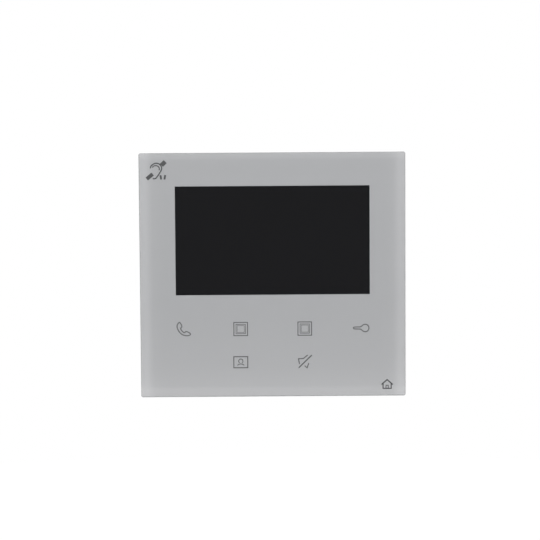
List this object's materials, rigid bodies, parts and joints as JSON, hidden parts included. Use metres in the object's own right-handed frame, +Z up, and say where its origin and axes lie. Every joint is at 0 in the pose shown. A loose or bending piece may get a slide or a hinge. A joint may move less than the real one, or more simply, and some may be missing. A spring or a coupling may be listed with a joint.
{
  "type": "video intercom monitor",
  "caption": "Wall-mounted hands-free video door station: clear flush front panel over a grey print, smoked display window, touch symbols, rear shell and hook-on steel wall bracket.",
  "frame": {"origin": "centre of the four wall screw holes, on the wall bracket's rear face (the wall plane)", "axes": "+Z up, +Y into the wall, +X to the right as seen from the room; the front panel faces -Y"},
  "size_m": [0.1686, 0.028, 0.155],
  "materials": {
    "clear_panel": "polished clear acrylic",
    "grey_print": "light grey screen print seen through the clear panel",
    "smoked_print": "smoked black window print",
    "tape": "white foam tape",
    "white_moulding": "fine spark-eroded texture",
    "black_foam": "closed-cell foam",
    "display_steel": "bright pressed sheet",
    "display_glass": "dark unpowered display",
    "backlight_white": "white reflective tray",
    "plated_sheet": "zinc-plated sheet",
    "plated_screw": "zinc-plated",
    "amber_flex": "polyimide film",
    "connector_ivory": "ivory nylon",
    "circuit_board": "green solder mask",
    "copper": "copper plating",
    "milky_diffuser": "milky polycarbonate",
    "shield_white": "white moulding",
    "led_white": "white chip LED",
    "chip_black": "black epoxy",
    "metal_can": "drawn can",
    "ferrite": "sintered ferrite",
    "chip_ceramic": "ceramic chip parts",
    "enamelled_wire": "enamelled copper winding",
    "paper_cone": "coated paper cone",
    "brass_turned": "turned and plated",
    "black_rubber": "soft rubber",
    "terminal_green": "green polyamide",
    "switch_black": "black thermoplastic",
    "dial_white": "white thermoplastic",
    "galvanised_sheet": "galvanised sheet"
  },
  "bodies": {
    "wall_bracket": {"wall_bracket": "galvanised_sheet"},
    "station": {"front_panel": "clear_panel", "graphic_film": "grey_print", "window_film": "smoked_print", "panel_adhesive": "tape", "front_frame": "white_moulding", "lcd_foam_gasket": "black_foam", "lcd_bezel": "display_steel", "lcd_cell": "display_glass", "lcd_backlight": "backlight_white", "lcd_retainer": "plated_sheet", "retainer_screws": "plated_screw", "lcd_flex": "amber_flex", "lcd_connector": "connector_ivory", "touch_board": "circuit_board", "touch_electrodes": "copper", "icon_diffusers": "milky_diffuser", "icon_light_shield": "shield_white", "icon_leds": "led_white", "touch_controller": "chip_black", "touch_flex": "amber_flex", "touch_connector": "connector_ivory", "main_board": "circuit_board", "board_standoffs": "brass_turned", "board_screws": "plated_screw", "processor": "chip_black", "memory_chips": "chip_black", "logic_chips": "chip_black", "crystal": "metal_can", "capacitors": "metal_can", "power_inductors": "ferrite", "chip_parts": "chip_ceramic", "bus_choke_core": "ferrite", "bus_choke_winding": "enamelled_wire", "induction_coil": "enamelled_wire", "coil_lead": "enamelled_wire", "speaker_gasket": "black_foam", "speaker_frame": "display_steel", "speaker_cone": "paper_cone", "speaker_magnet": "plated_sheet", "speaker_contacts": "brass_turned", "microphone_boot": "black_rubber", "microphone": "metal_can", "rear_housing": "white_moulding", "housing_screws": "plated_screw", "terminal_headers": "terminal_green", "header_pins": "brass_turned", "address_switch_bodies": "switch_black", "slide_switch_bodies": "switch_black"},
    "tens_dial_body": {"tens_dial": "dial_white"},
    "units_dial_body": {"units_dial": "dial_white"},
    "door_dial_body": {"door_dial": "dial_white"},
    "mode_slider_body": {"mode_slider": "dial_white"},
    "lock_slider_body": {"lock_slider": "dial_white"},
    "bus_plug_body": {"bus_plug": "terminal_green", "bus_plug_screws": "plated_screw"},
    "bell_plug_body": {"bell_plug": "terminal_green", "bell_plug_screws": "plated_screw"}
  },
  "joints": [
    {"name": "station_lift", "type": "slide", "parent": "wall_bracket", "child": "station", "axis": [0, 0, 1], "range_m": [0, 0.008]},
    {"name": "tens_dial_turn", "type": "hinge", "parent": "station", "child": "tens_dial_body", "pos_m": [-0.033, -0.0079, 0.008], "axis": [0, 1, 0], "continuous": true},
    {"name": "units_dial_turn", "type": "hinge", "parent": "station", "child": "units_dial_body", "pos_m": [-0.021, -0.0079, 0.008], "axis": [0, 1, 0], "continuous": true},
    {"name": "door_dial_turn", "type": "hinge", "parent": "station", "child": "door_dial_body", "pos_m": [-0.009, -0.0079, 0.008], "axis": [0, 1, 0], "continuous": true},
    {"name": "mode_slider_travel", "type": "slide", "parent": "station", "child": "mode_slider_body", "axis": [1, 0, 0], "range_m": [0, 0.002]},
    {"name": "lock_slider_travel", "type": "slide", "parent": "station", "child": "lock_slider_body", "axis": [1, 0, 0], "range_m": [0, 0.002]},
    {"name": "bus_plug_unplug", "type": "slide", "parent": "station", "child": "bus_plug_body", "axis": [0, 1, 0], "range_m": [0, 0.008]},
    {"name": "bell_plug_unplug", "type": "slide", "parent": "station", "child": "bell_plug_body", "axis": [0, 1, 0], "range_m": [0, 0.008]}
  ]
}
